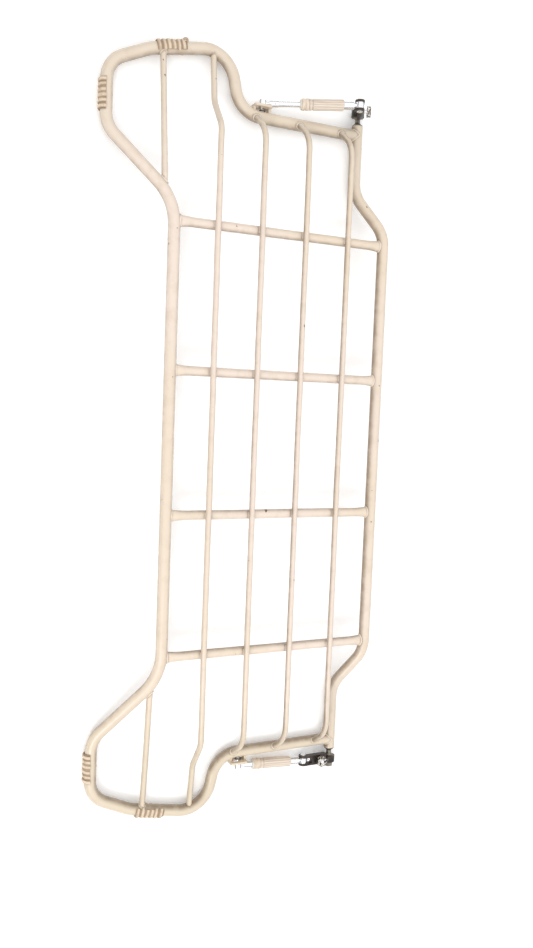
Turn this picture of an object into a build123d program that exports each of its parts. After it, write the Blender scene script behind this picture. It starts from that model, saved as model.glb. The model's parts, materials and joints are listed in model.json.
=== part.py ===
from build123d import *
import os
from math import asin, atan2, cos, degrees, hypot, pi, radians, sin, tan

# Folding luggage rack: a welded tube frame with a folding end bracket and a telescopic
# stay at each end.  Millimetres.  +Z is the side that carries the luggage, X runs along
# the rack, the hinge side is at +Y and the two padded wings are at -Y.

os.makedirs("parts", exist_ok=True)

# ---------------------------------------------------------------- frame: driving sizes
tube_od = 19.0          # bent perimeter tubes
tube_wall = 1.5
crossbar_od = 15.0
crossbar_wall = 1.5
wire_d = 9.5            # solid slat wires
weld_sink = 0.4         # how far a wire is melted into what it lies on

deck_rise = 35.0        # carrying level above the level of the ends and wings
rack_depth = 373.0      # wing-side long tube to hinge-side long tube
hinge_line_y = 332.5    # the straight hinge ends of the hinge tube
end_tube_x = 526.0      # the short cross tube at each end
hinge_end_run = 6.0     # how far the hinge tube stands out past the end tube
hinge_bend_x = 428.0    # start and end of the hinge tube's sideways offset
deck_bend_x = 360.0
wing_root_x = 370.0     # where the long tube turns into the wing
wing_side_x = (474.0, 567.0)    # ends of the wing's side run
wing_side_y = -100.5
wing_cap_near = (598.0, -33.0)  # the wing's end cap, its two corners
wing_cap_far = (622.0, 95.0)
neck_y = 115.0          # the S-bend from the wing into the end tube
crossbar_pitch = 226.6
wire_rows = (67.4, 142.4, 219.9, 297.6)
wing_wire_y = -15.0

bend_neck = 45.0
bend_cap_far = 48.0
bend_cap_near = 60.0
bend_side = 40.0
bend_side_inner = 45.0
bend_root = 90.0
bend_hinge = 60.0
wire_bend = 44.0
wire_drop_run = 31.0    # a wire's end comes down to the end tube over this length
jog_x = (488.0, 533.0)  # the first wire steps down to the wing between these
jog_bend = 30.0
wing_wire_rise = 12.0   # height of the stepped-down wire over the wing's tube axis
wing_wire_end_rise = 3.0

# pads
pad_wall = 2.6
pad_rib = 1.5
pad_length = 47.0
pad_ribs = 6
end_pad_y = -2.0        # middle of an end pad
pad_wire_gap = 0.7      # an end pad's slit clears the short wire by this much
side_pad_cover = 225.0  # degrees of tube that a side pad wraps
side_pad_faces = Vector(0, -0.78, -0.62)

# ------------------------------------------------- bracket and stay: driving sizes
fold_range = 63.0       # degrees from folded flat to put up
fold_at = {"left": 63.0, "right": 0.0}
side_sign = {"left": -1, "right": 1}
arm = 51.6              # hinge axis to clevis pin
spigot_neck_d = 9.0
journal_d = 10.0
spigot_neck = 14.4      # the spigot's flared neck, between the tube end and the hub
hub_setback = 6.0       # the hub stands this much further out than the inner ear
spigot_plug = 28.0
running_gap = 0.05      # radial gap of a turning fit
flat_gap = 0.25         # gap beside a turning face
bush_wall = 1.5
bush_flange = 0.8
ear_t = 3.5
eye_w = 9.6
hub_r = 11.0
ear_r = 8.0
web_top = 8.0           # the bracket's web, above and below the arm's line
web_bottom = -2.0
web_start = 9.0         # along the arm, where the web leaves the hub
web_end = 37.0
pivot_thread_d = 8.0
washer_t = 1.5
pivot_nut_flats = 14.0
pivot_nut_t = 6.0
thread_spare = 1.5
clevis_pin_d = 6.0
rivet_head_r = 4.8
rivet_head_t = 1.8

screw_u = 23.0          # clamp screw, along the arm from the hinge axis
screw_d = 6.0
screw_clearance = 0.15
knob_d = 18.0
knob_t = 6.5
knob_teeth = 20
clamp_travel = 5.0
knob_gap = 0.6          # knob stands this clear of the web when the pad is fully down
clamp_pad_d = 9.2
clamp_pad_t = 3.0
jaw_t = 2.5
jaw_u = (14.0, 33.0)
jaw_reach = 13.0        # how far the jaw's lip reaches in under the pad
jaw_lip_top = -11.0

stay_lean = 3.5         # degrees that a stay leans outwards from the frame
stay_tube_od = 13.0
stay_tube_wall = 1.05
stay_tube_start = 11.0
stay_tube_end = 97.5
shank_d = 8.0
eye_plug = 13.0
eye_r = 7.0
grip_od = 18.2
grip_start = 27.0
grip_end = 85.0
collar_od = 18.8
collar_gap = 0.3
guide_flange_t = 1.6
guide_flange_r = 8.0
guide_depth = 9.0
rod_d = 9.0
piston_len = 6.0
rod_end_od = 10.8
rod_end_run = (11.0, 26.0)      # the rod end's barrel, measured back from the foot pin
foot_eye_r = 6.4
foot_eye_w = 9.6
foot_pin_d = 6.0
foot_head_r = 5.2
foot_head_t = 2.0

foot_y = 156.0          # seat of the foot pin in its lug, and its height
foot_z = -3.0
slot_gap = 1.3          # radial room of the foot pin in its slot
lug_t = 3.4
lug_y = (137.5, 168.0)
lug_z = (-9.0, 13.0)
lug_leg = 4.0
foot_ring_r = 5.7
foot_ring_t = 1.2
foot_ring_gap = 0.4

# ---------------------------------------------------------------- values worked out
tube_r = tube_od / 2
wire_r = wire_d / 2
crossbar_r = crossbar_od / 2
pad_r = tube_r + pad_wall
base = pad_r + pad_rib                  # height of the ends' tube axes over the floor
deck_z = base + deck_rise
hinge_end_x = end_tube_x + tube_r + hinge_end_run
wire_z = deck_z + crossbar_r + wire_r - weld_sink
wire_end_z = base + tube_r + wire_r - weld_sink
wing_wire_z = base + wing_wire_rise
centre_y = (wing_side_y - pad_r - pad_rib + rack_depth + tube_r) / 2
crossbar_x = [(i - 1.5) * crossbar_pitch for i in range(4)]
hub_in = hinge_end_x + spigot_neck + flat_gap + bush_flange
ear_in = hub_in - hub_setback
stay_x = ear_in + ear_t + flat_gap + eye_w / 2
ear_out = stay_x + eye_w / 2 + flat_gap + ear_t
journal_end = ear_out + flat_gap
journal_bore_r = journal_d / 2 + running_gap
bush_r = journal_bore_r + bush_wall
pivot_pin_r = clevis_pin_d / 2
stay_bore_r = stay_tube_od / 2 - stay_tube_wall


def finish(name, label):
    name.part.label = label
    export_step(name.part, f"parts/{label}.step")


def at(x, y, z):
    """A point given from the wing-side long tube's axis and the ends' level."""
    return Vector(x, y - centre_y, z + base)


# ---------------------------------------------------------------- frame
def wing_path():
    """End tube, S-bend, end cap, side run and deck, then the same mirrored."""
    half = [(end_tube_x, hinge_line_y), (end_tube_x, neck_y), wing_cap_far, wing_cap_near,
            (wing_side_x[1], wing_side_y), (wing_side_x[0], wing_side_y)]
    right = [at(x, y, 0) for x, y in half] + [at(wing_root_x, 0, deck_rise)]
    left = [Vector(-p.X, p.Y, p.Z) for p in reversed(right)]
    bends = [bend_neck, bend_cap_far, bend_cap_near, bend_side, bend_side_inner, bend_root]
    return right + left, bends + bends[::-1]


def hinge_path():
    right = [at(hinge_end_x, hinge_line_y, 0), at(hinge_bend_x, hinge_line_y, 0),
             at(deck_bend_x, rack_depth, deck_rise)]
    left = [Vector(-p.X, p.Y, p.Z) for p in reversed(right)]
    return right + left, [bend_hinge] * 4


def swept_bar(points, bends, radius):
    """A solid round bar along a bent path."""
    with BuildPart() as bar:
        with BuildLine() as path:
            FilletPolyline(*points, radius=bends)
        start = Plane(origin=path.line @ 0, z_dir=path.line % 0)
        with BuildSketch(start):
            Circle(radius)
        sweep(path=path.line)
    return bar.part


wing_core = swept_bar(*wing_path(), tube_r)
wing_bore = swept_bar(*wing_path(), tube_r - tube_wall)
hinge_core = swept_bar(*hinge_path(), tube_r)
hinge_bore = swept_bar(*hinge_path(), tube_r - tube_wall)
tube_cores = [wing_core, hinge_core]


def make_perimeter():
    with BuildPart() as wing_tube:
        add(wing_core)
        add(wing_bore, mode=Mode.SUBTRACT)
        add(hinge_core, mode=Mode.SUBTRACT)
    finish(wing_tube, "wing_tube")
    with BuildPart() as hinge_tube:
        add(hinge_core)
        add(hinge_bore, mode=Mode.SUBTRACT)
    finish(hinge_tube, "hinge_tube")


def crossbar_bar(x, radius):
    with BuildPart() as bar:
        with BuildSketch(Plane(origin=at(x, 0, deck_rise), z_dir=(0, 1, 0))):
            Circle(radius)
        extrude(amount=rack_depth)
    return bar.part


crossbar_cores = [crossbar_bar(x, crossbar_r) for x in crossbar_x]


def make_crossbars():
    for number, x in enumerate(crossbar_x, 1):
        with BuildPart() as crossbar:
            add(crossbar_cores[number - 1])
            add(crossbar_bar(x, crossbar_r - crossbar_wall), mode=Mode.SUBTRACT)
            for core in tube_cores:
                add(core, mode=Mode.SUBTRACT)
        finish(crossbar, f"crossbar_{number}")


def cap_axis_x(y):
    """Where the axis of a wing's end cap is, at this depth."""
    share = (y - wing_cap_near[1]) / (wing_cap_far[1] - wing_cap_near[1])
    return wing_cap_near[0] + share * (wing_cap_far[0] - wing_cap_near[0])


def slat_points(row, y):
    """Right half of a slat wire; the first one steps down and runs on to the wing."""
    if row == 0:
        half = [(jog_x[0], wire_z), (jog_x[1], wing_wire_z), (cap_axis_x(y), base)]
        bends = [jog_bend, jog_bend]
    else:
        half = [(end_tube_x - wire_drop_run, wire_z), (end_tube_x + wire_r, wire_end_z)]
        bends = [wire_bend]
    right = [Vector(x, y - centre_y, z) for x, z in reversed(half)]
    left = [Vector(-p.X, p.Y, p.Z) for p in reversed(right)]
    return right + left, bends[::-1] + bends


def longest_piece(bar, cutters):
    """The bar with its ends coped to what it meets, without the stubs beyond."""
    with BuildPart() as cut_bar:
        add(bar)
        for cutter in cutters:
            add(cutter, mode=Mode.SUBTRACT)
    longest = cut_bar.solids().sort_by(SortBy.VOLUME)[-1]
    with BuildPart() as piece:
        add(longest)
    return piece


def make_slat_wires():
    for row, y in enumerate(wire_rows):
        bar = swept_bar(*slat_points(row, y), wire_r)
        wire = longest_piece(bar, crossbar_cores + tube_cores)
        finish(wire, f"slat_wire_{row + 1}")


def make_wing_wires():
    """The short wire in each wing, from its slanting tube to its end cap."""
    share = wing_wire_y / wing_side_y
    root = at(wing_root_x + share * (wing_side_x[0] - wing_root_x), wing_wire_y,
              deck_rise * (1 - share))
    tip = at(cap_axis_x(wing_wire_y), wing_wire_y, wing_wire_end_rise)
    for side, sign in side_sign.items():
        ends = [Vector(sign * p.X, p.Y, p.Z) for p in (root, tip)]
        with BuildPart() as bar:
            with BuildSketch(Plane(origin=ends[0], z_dir=ends[1] - ends[0])):
                Circle(wire_r)
            extrude(amount=(ends[1] - ends[0]).length)
        finish(longest_piece(bar.part, tube_cores), f"wing_wire_{side}")


# ---------------------------------------------------------------- pads
def make_pad(label, middle, along, cover_dir, cover):
    """A ribbed rubber sleeve, slit along the side that faces away from cover_dir."""
    start_dir = cover_dir.rotate(Axis((0, 0, 0), along), -cover / 2)
    section = Plane(origin=middle, x_dir=start_dir, z_dir=start_dir.cross(along))
    rib_pitch = pad_length / pad_ribs
    with BuildPart() as pad:
        with BuildSketch(section):
            with Locations((tube_r + pad_wall / 2, 0)):
                Rectangle(pad_wall, pad_length)
            with Locations((pad_r, 0)):
                with GridLocations(0, rib_pitch, 1, pad_ribs):
                    Ellipse(pad_rib, rib_pitch * 0.36)
            with Locations((tube_r / 2, 0)):
                Rectangle(tube_r, pad_length + 1, mode=Mode.SUBTRACT)
        revolve(axis=Axis(middle, along), revolution_arc=cover)
    finish(pad, label)


def bend_trim(bend, before, corner, after):
    """Length that a bend takes from each run beside its corner."""
    turn = (corner - before).get_angle(after - corner)
    return bend * tan(radians(turn / 2))


def side_pad_x():
    """Middle of the straight part of a wing's side run."""
    cap, outer, inner, root = (Vector(*wing_cap_near), Vector(wing_side_x[1], wing_side_y),
                               Vector(wing_side_x[0], wing_side_y), Vector(wing_root_x, 0))
    outer_end = outer.X - bend_trim(bend_side, cap, outer, inner)
    inner_end = inner.X + bend_trim(bend_side_inner, outer, inner, root)
    return (outer_end + inner_end) / 2


def make_pads():
    cap_run = Vector(*wing_cap_far) - Vector(*wing_cap_near)
    wire_half = wing_wire_end_rise + wire_r + pad_wire_gap
    end_pad_cover = 360 - 2 * degrees(asin(wire_half / tube_r))
    for side, sign in side_sign.items():
        along = Vector(sign * cap_run.X, cap_run.Y, 0).normalized()
        outward = Vector(sign * cap_run.Y, -cap_run.X, 0).normalized()
        end_middle = at(sign * cap_axis_x(end_pad_y), end_pad_y, 0)
        side_middle = at(sign * side_pad_x(), wing_side_y, 0)
        make_pad(f"end_pad_{side}", end_middle, along, outward, end_pad_cover)
        make_pad(f"side_pad_{side}", side_middle, Vector(1, 0, 0), side_pad_faces,
                 side_pad_cover)


# ---------------------------------------------------------------- the fold's geometry
def eye_position(side, fold):
    """Clevis pin in the rack's frame when the bracket is folded up by this angle."""
    angle = radians(fold)
    return at(side_sign[side] * stay_x, hinge_line_y - arm * cos(angle), arm * sin(angle))


def stay_reach(side, fold):
    """From the clevis pin to the foot pin's seat, seen along X: length and slope."""
    eye = eye_position(side, fold)
    seat = at(0, foot_y, foot_z)
    across = eye.Y - seat.Y
    down = eye.Z - seat.Z
    return hypot(across, down), degrees(atan2(down, across))


def slot_reach():
    """Where the foot pin stands, from its seat, halfway through the coupled motion."""
    flat_length, flat_slope = stay_reach("right", 0)
    up_length, up_slope = stay_reach("right", fold_range)
    eye = eye_position("right", fold_range / 2)
    length = (flat_length + up_length) / 2
    slope = radians((flat_slope + up_slope) / 2)
    seat = at(0, foot_y, foot_z)
    return (eye.Y - length * cos(slope) - seat.Y, eye.Z - length * sin(slope) - seat.Z)


def hinge_plane(side, outward, along_arm=0.0):
    """Plane across the hinge axis at |x| = outward: local x along the arm, z outwards."""
    sign = side_sign[side]
    fold = radians(fold_at[side])
    arm_dir = Vector(0, -cos(fold), sin(fold))
    origin = at(sign * outward, hinge_line_y, 0) + arm_dir * along_arm
    return Plane(origin=origin, x_dir=arm_dir, z_dir=(sign, 0, 0))


def raised(side, height):
    """Local y, on a hinge plane, of a height over the arm's line on the knob side."""
    return -side_sign[side] * height


def screw_plane(side, height):
    """Plane across the clamp screw, at a height over the arm's line; z towards the knob."""
    face = hinge_plane(side, stay_x, screw_u)
    up = face.y_dir * -side_sign[side]
    return Plane(origin=face.origin + up * height, x_dir=face.x_dir, z_dir=up)


def stay_plane(side, distance=0.0):
    """Plane across a stay, this far from its clevis pin; z towards the foot."""
    sign = side_sign[side]
    slope = radians(stay_reach(side, fold_at[side])[1])
    lean = radians(stay_lean)
    along = Vector(-sign * sin(lean), -cos(lean) * cos(slope), -cos(lean) * sin(slope))
    across = Vector(cos(lean), -sign * sin(lean) * cos(slope), -sign * sin(lean) * sin(slope))
    origin = eye_position(side, fold_at[side]) + along * distance
    return Plane(origin=origin, x_dir=across, z_dir=along)


def stay_length(side, fold):
    """From the clevis pin to the foot pin along the leaning stay."""
    return stay_reach(side, fold)[0] / cos(radians(stay_lean))


def foot_x(fold):
    """How far out the foot pin's middle stands at a fold angle."""
    return stay_x - stay_length("right", fold) * sin(radians(stay_lean))


def foot_plane(side, outward):
    """Plane across the foot pin, this far out from the middle of its eye."""
    centre = stay_plane(side, stay_length(side, fold_at[side])).origin
    sign = side_sign[side]
    return Plane(origin=centre + Vector(sign * outward, 0, 0), x_dir=(0, 1, 0),
                 z_dir=(sign, 0, 0))


lug_out = foot_x(fold_range) - foot_eye_w / 2 - foot_ring_gap
lug_in = lug_out - lug_t
ring_back = foot_x(0) - lug_in + foot_ring_gap      # ring's face, behind the eye's middle


def turned(face, outline):
    """Revolve an outline of (radius, distance) points about a plane's z axis."""
    section = Plane(origin=face.origin, x_dir=face.x_dir, z_dir=face.x_dir.cross(face.z_dir))
    with BuildSketch(section) as profile:
        with BuildLine():
            Polyline(*outline, close=True)
        make_face()
    revolve(profile.sketch, axis=Axis(face.origin, face.z_dir))


def tube_outline(inner, outer, start, end):
    return [(inner, start), (outer, start), (outer, end), (inner, end)]


def drill(face, radius, depth):
    with BuildSketch(face) as hole:
        Circle(radius)
    extrude(hole.sketch, amount=depth, dir=face.z_dir, mode=Mode.SUBTRACT)


# ---------------------------------------------------------------- end hinge
def make_hinge(side):
    """What is fixed to the hinge tube's end: spigot, washer and nut, and the bush."""
    journal_r = journal_d / 2
    thread_r = pivot_thread_d / 2
    plug_r = tube_r - tube_wall
    collar_r = tube_r - 0.6
    shoulder = journal_end - hinge_end_x
    tip = shoulder + washer_t + pivot_nut_t + thread_spare
    with BuildPart() as spigot:
        turned(hinge_plane(side, hinge_end_x),
               [(0, -spigot_plug), (plug_r, -spigot_plug), (plug_r, 0), (collar_r, 0),
                (collar_r, 1.5), (spigot_neck_d / 2, 5.5), (spigot_neck_d / 2, spigot_neck - 3),
                (journal_r + 1.4, spigot_neck), (journal_r, spigot_neck),
                (journal_r, shoulder), (thread_r, shoulder), (thread_r, tip), (0, tip)])
    finish(spigot, f"hinge_spigot_{side}")
    with BuildPart() as washer:
        turned(hinge_plane(side, journal_end),
               tube_outline(thread_r, hub_r - 3, 0, washer_t))
    finish(washer, f"hinge_washer_{side}")
    with BuildPart() as nut:
        with BuildSketch(hinge_plane(side, journal_end + washer_t)):
            RegularPolygon(pivot_nut_flats / 2, 6, major_radius=False)
        extrude(amount=pivot_nut_t)
        drill(hinge_plane(side, journal_end), thread_r, pivot_nut_t * 2)
    finish(nut, f"hinge_nut_{side}")
    length = ear_out - hub_in
    with BuildPart() as bush:
        turned(hinge_plane(side, hub_in),
               [(journal_bore_r, -bush_flange), (bush_r + 1.5, -bush_flange),
                (bush_r + 1.5, 0), (bush_r, 0), (bush_r, length), (journal_bore_r, length)])
    finish(bush, f"hinge_bush_{side}")


def make_bracket(side):
    """Hub, web and the two ears that hold the stay's eye."""
    web_middle = raised(side, (web_top + web_bottom) / 2)
    gap_w = eye_w + 2 * flat_gap
    with BuildPart() as bracket:
        with BuildSketch(hinge_plane(side, hub_in)):
            Circle(hub_r)
        extrude(amount=ear_out - hub_in)
        with BuildSketch(hinge_plane(side, ear_in)):
            with Locations((arm, 0)):
                Circle(ear_r)
            with Locations(((web_start + arm) / 2, web_middle)):
                Rectangle(arm - web_start, web_top - web_bottom)
        extrude(amount=ear_out - ear_in)
        with BuildSketch(hinge_plane(side, ear_in + ear_t)):
            with Locations((web_end + arm / 2, 0)):
                Rectangle(arm, 3 * ear_r)
        extrude(amount=gap_w, mode=Mode.SUBTRACT)
        drill(hinge_plane(side, ear_in - ear_t), bush_r, gap_w * 3)
        drill(hinge_plane(side, ear_in - ear_t, arm), pivot_pin_r, gap_w * 3)
        drill(screw_plane(side, web_bottom - 1), screw_d / 2 + screw_clearance,
              web_top - web_bottom + 2)
    finish(bracket, f"bracket_{side}")


def make_jaw(side):
    """An angle plate on the outer ear; its lip faces the clamp pad."""
    u_middle = (jaw_u[0] + jaw_u[1]) / 2
    jaw_bottom = jaw_lip_top - jaw_t
    length = jaw_u[1] - jaw_u[0]
    with BuildPart() as jaw:
        with BuildSketch(hinge_plane(side, ear_out)):
            with Locations((u_middle, raised(side, (web_top - 2 + jaw_bottom) / 2))):
                Rectangle(length, web_top - 2 - jaw_bottom)
        extrude(amount=jaw_t)
        with BuildSketch(hinge_plane(side, ear_out - jaw_reach)):
            with Locations((u_middle, raised(side, jaw_lip_top - jaw_t / 2))):
                Rectangle(length, jaw_t)
        extrude(amount=jaw_reach)
    finish(jaw, f"jaw_plate_{side}")


def make_clamp(side):
    """Thumb screw through the web, with a pad that turns freely on its tip."""
    pad_top = web_bottom - 0.3
    tip_r = screw_d / 2 - 0.8
    tip_len = 1.6
    knob_start = web_top + clamp_travel + knob_gap
    knob_end = knob_start + knob_t
    with BuildPart() as pad:
        turned(screw_plane(side, pad_top - clamp_pad_t),
               [(0, 0), (clamp_pad_d / 2, 0), (clamp_pad_d / 2, clamp_pad_t),
                (tip_r + running_gap, clamp_pad_t),
                (tip_r + running_gap, clamp_pad_t - tip_len - flat_gap),
                (0, clamp_pad_t - tip_len - flat_gap)])
    finish(pad, f"clamp_pad_{side}")
    with BuildPart() as screw:
        turned(screw_plane(side, 0),
               [(0, pad_top - tip_len), (tip_r, pad_top - tip_len), (tip_r, pad_top + flat_gap),
                (screw_d / 2, pad_top + flat_gap), (screw_d / 2, knob_end), (0, knob_end)])
    finish(screw, f"clamp_screw_{side}")
    with BuildPart() as knob:
        with BuildSketch(screw_plane(side, knob_start)):
            Circle(knob_d / 2)
            with PolarLocations(knob_d / 2, knob_teeth):
                Circle(pi * knob_d / knob_teeth / 4, mode=Mode.SUBTRACT)
            Circle(screw_d / 2, mode=Mode.SUBTRACT)
        extrude(amount=knob_t)
    finish(knob, f"clamp_knob_{side}")


# ---------------------------------------------------------------- telescopic stay
def make_clevis_pin(side):
    span = ear_out - ear_in
    with BuildPart() as pin:
        turned(hinge_plane(side, ear_in - rivet_head_t, arm),
               [(0, 0), (rivet_head_r - 0.6, 0), (rivet_head_r, 0.6),
                (rivet_head_r, rivet_head_t), (pivot_pin_r, rivet_head_t),
                (pivot_pin_r, rivet_head_t + span), (rivet_head_r, rivet_head_t + span),
                (rivet_head_r, 2 * rivet_head_t + span - 0.6),
                (rivet_head_r - 0.6, 2 * rivet_head_t + span), (0, 2 * rivet_head_t + span)])
    finish(pin, f"clevis_pin_{side}")


def make_stay_body(side):
    """Eye, tube, grip, and the guide bush that closes the tube's open end."""
    tube_outer = stay_tube_od / 2
    with BuildPart() as eye:
        turned(stay_plane(side), tube_outline(0, shank_d / 2, 0, stay_tube_start))
        turned(stay_plane(side, stay_tube_start), tube_outline(0, stay_bore_r, 0, eye_plug))
        with BuildSketch(hinge_plane(side, stay_x - eye_w / 2, arm)):
            Circle(eye_r)
        extrude(amount=eye_w)
        drill(hinge_plane(side, stay_x - eye_w, arm), pivot_pin_r + running_gap, eye_w * 2)
    finish(eye, f"stay_eye_{side}")
    with BuildPart() as tube:
        turned(stay_plane(side),
               tube_outline(stay_bore_r, tube_outer, stay_tube_start, stay_tube_end))
    finish(tube, f"stay_tube_{side}")
    grip_r = grip_od / 2
    with BuildPart() as grip:
        turned(stay_plane(side),
               [(tube_outer, grip_start), (grip_r - 0.9, grip_start),
                (grip_r, grip_start + 1.0), (grip_r, grip_end - 6), (grip_r - 0.6, grip_end - 5.4),
                (grip_r - 0.6, grip_end - 4.4), (grip_r + 0.3, grip_end - 3.6),
                (grip_r + 0.3, grip_end - 0.8), (grip_r - 0.5, grip_end), (tube_outer, grip_end)])
    finish(grip, f"grip_sleeve_{side}")
    with BuildPart() as guide:
        turned(stay_plane(side, stay_tube_end),
               [(rod_d / 2 + running_gap, -guide_depth), (stay_bore_r, -guide_depth),
                (stay_bore_r, 0), (guide_flange_r, 0), (guide_flange_r, guide_flange_t),
                (rod_d / 2 + running_gap, guide_flange_t)])
    finish(guide, f"guide_bush_{side}")


def make_lock_collar(side):
    inner = stay_tube_od / 2 + collar_gap
    outer = collar_od / 2
    start = grip_end + collar_gap
    end = stay_tube_end - collar_gap
    groove = (start + end) / 2
    with BuildPart() as collar:
        turned(stay_plane(side),
               [(inner, start), (outer - 0.5, start), (outer, start + 0.7),
                (outer, groove - 1.3), (outer - 0.8, groove - 0.7), (outer - 0.8, groove + 0.7),
                (outer, groove + 1.3), (outer, end - 1.4), (outer - 0.9, end), (inner, end)])
    finish(collar, f"lock_collar_{side}")


def make_rod(side):
    """Inner rod with its piston, and the rod end that carries the foot pin."""
    length = stay_length(side, fold_at[side])
    pushed_in = stay_length(side, fold_range) - length
    piston_start = stay_tube_end - guide_depth - 0.5 - piston_len - pushed_in
    barrel_start = length - rod_end_run[1]
    rod_tip = (barrel_start + length - rod_end_run[0]) / 2
    piston_r = stay_bore_r - running_gap
    rod_r = rod_d / 2
    with BuildPart() as rod:
        turned(stay_plane(side),
               [(0, piston_start), (piston_r, piston_start), (piston_r, piston_start + piston_len),
                (rod_r, piston_start + piston_len), (rod_r, rod_tip), (0, rod_tip)])
    finish(rod, f"stay_rod_{side}")
    with BuildPart() as rod_end:
        turned(stay_plane(side), tube_outline(0, rod_end_od / 2, barrel_start,
                                              length - rod_end_run[0]))
        turned(stay_plane(side), tube_outline(0, shank_d / 2 - 0.4, rod_tip, length))
        with BuildSketch(foot_plane(side, -foot_eye_w / 2)):
            Circle(foot_eye_r)
        extrude(amount=foot_eye_w)
        drill(foot_plane(side, -foot_eye_w), foot_pin_d / 2, foot_eye_w * 2)
        drill(stay_plane(side, barrel_start), rod_r, rod_tip - barrel_start)
    finish(rod_end, f"rod_end_{side}")


def make_foot(side):
    """Foot pin with its ring, and the slotted lug on the end tube."""
    pin_r = foot_pin_d / 2
    tail = ring_back + foot_ring_t
    with BuildPart() as pin:
        turned(foot_plane(side, -tail),
               [(0, 0), (pin_r, 0), (pin_r, tail + foot_eye_w / 2),
                (foot_head_r, tail + foot_eye_w / 2),
                (foot_head_r, tail + foot_eye_w / 2 + foot_head_t - 0.8),
                (foot_head_r - 1.2, tail + foot_eye_w / 2 + foot_head_t),
                (0, tail + foot_eye_w / 2 + foot_head_t)])
    finish(pin, f"foot_pin_{side}")
    with BuildPart() as ring:
        turned(foot_plane(side, -tail), tube_outline(pin_r, foot_ring_r, 0, foot_ring_t))
    finish(ring, f"foot_ring_{side}")


def make_lug(side):
    sign = side_sign[side]
    seat = at(0, foot_y, foot_z)
    reach_y, reach_z = slot_reach()
    slot_r = foot_pin_d / 2 + slot_gap
    slot_angle = degrees(atan2(sign * reach_z, reach_y))
    inner = Plane(origin=(sign * lug_in, 0, 0), x_dir=(0, 1, 0), z_dir=(sign, 0, 0))
    weld_face = Plane(origin=(sign * (end_tube_x + tube_r / 2), 0, 0), x_dir=(0, 1, 0),
                      z_dir=(sign, 0, 0))
    corners = [at(0, y, z) for y, z in zip(lug_y, lug_z)]
    middle = (corners[0] + corners[1]) / 2
    with BuildPart() as lug:
        with BuildSketch(inner):
            with Locations((middle.Y, sign * middle.Z)):
                RectangleRounded(lug_y[1] - lug_y[0], lug_z[1] - lug_z[0], lug_leg - 0.1)
        extrude(amount=lug_t)
        with BuildSketch(weld_face):
            for y in (corners[0].Y + lug_leg / 2, corners[1].Y - lug_leg / 2):
                with Locations((y, sign * base)):
                    Rectangle(lug_leg, tube_r)
        extrude(amount=lug_in - end_tube_x - tube_r / 2)
        with BuildSketch(inner):
            with Locations((seat.Y + reach_y / 2, sign * (seat.Z + reach_z / 2))):
                SlotCenterToCenter(hypot(reach_y, reach_z), 2 * slot_r, slot_angle)
        extrude(amount=lug_t, mode=Mode.SUBTRACT)
        add(wing_core, mode=Mode.SUBTRACT)
    finish(lug, f"stay_lug_{side}")


# ---------------------------------------------------------------- build
make_perimeter()
make_crossbars()
make_slat_wires()
make_wing_wires()
make_pads()
for side in side_sign:
    make_hinge(side)
    make_bracket(side)
    make_jaw(side)
    make_clamp(side)
    make_clevis_pin(side)
    make_stay_body(side)
    make_lock_collar(side)
    make_rod(side)
    make_foot(side)
    make_lug(side)
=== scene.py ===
# %% [markdown]
# # A folding luggage rack
# The rack is a welded frame of painted tube with slat wires, ribbed rubber pads on its two
# wings, and a folding clamp bracket with a telescopic stay at each end.  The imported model
# comes in as a fixed frame, and each piece below is made around it, in metres.

# %% Load the frame
import json
import math
import bmesh
import bpy
from mathutils import Matrix, Vector, kdtree


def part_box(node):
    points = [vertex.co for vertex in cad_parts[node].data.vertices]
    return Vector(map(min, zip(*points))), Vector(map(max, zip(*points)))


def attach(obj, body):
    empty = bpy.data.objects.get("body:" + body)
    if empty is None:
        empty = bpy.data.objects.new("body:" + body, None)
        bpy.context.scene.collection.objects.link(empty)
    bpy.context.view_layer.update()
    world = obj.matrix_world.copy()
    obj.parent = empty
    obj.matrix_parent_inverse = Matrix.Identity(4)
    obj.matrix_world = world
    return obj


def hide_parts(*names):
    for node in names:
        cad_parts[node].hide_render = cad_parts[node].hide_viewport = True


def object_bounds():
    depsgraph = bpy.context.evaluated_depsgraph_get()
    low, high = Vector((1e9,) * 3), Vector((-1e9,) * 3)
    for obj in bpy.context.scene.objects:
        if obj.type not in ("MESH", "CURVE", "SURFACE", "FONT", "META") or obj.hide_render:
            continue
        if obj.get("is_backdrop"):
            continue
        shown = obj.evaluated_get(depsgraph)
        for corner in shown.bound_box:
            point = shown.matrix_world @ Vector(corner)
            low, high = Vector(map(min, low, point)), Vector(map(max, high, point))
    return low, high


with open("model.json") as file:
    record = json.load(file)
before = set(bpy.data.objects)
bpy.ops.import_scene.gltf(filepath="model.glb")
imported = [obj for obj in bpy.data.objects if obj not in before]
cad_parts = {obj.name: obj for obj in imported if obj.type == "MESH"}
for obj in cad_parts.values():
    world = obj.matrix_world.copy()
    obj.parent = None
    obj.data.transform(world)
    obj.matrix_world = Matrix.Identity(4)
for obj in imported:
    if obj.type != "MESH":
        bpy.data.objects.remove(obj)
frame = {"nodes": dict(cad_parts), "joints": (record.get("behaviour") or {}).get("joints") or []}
cad_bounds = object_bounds()
print("frame box", [round(value, 4) for corner in cad_bounds for value in corner])

# %% [markdown]
# ## Where things are
# The tubes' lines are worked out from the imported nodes.  A crossbar's end is cut round the
# tube that it meets, so its nearest point to that tube's axis stands off by the cope.

# %% Sizes and levels
tube_radius = 0.0095
crossbar_radius = 0.0075
wire_radius = 0.00475
melt = 0.0004
sides = {"left": -1, "right": 1}


def middle_of(node):
    low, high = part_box(node)
    return (low + high) / 2


def linked(name, data):
    """A new object in the scene that shows this data."""
    made = bpy.data.objects.new(name, data)
    bpy.context.scene.collection.objects.link(made)
    return made


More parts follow.
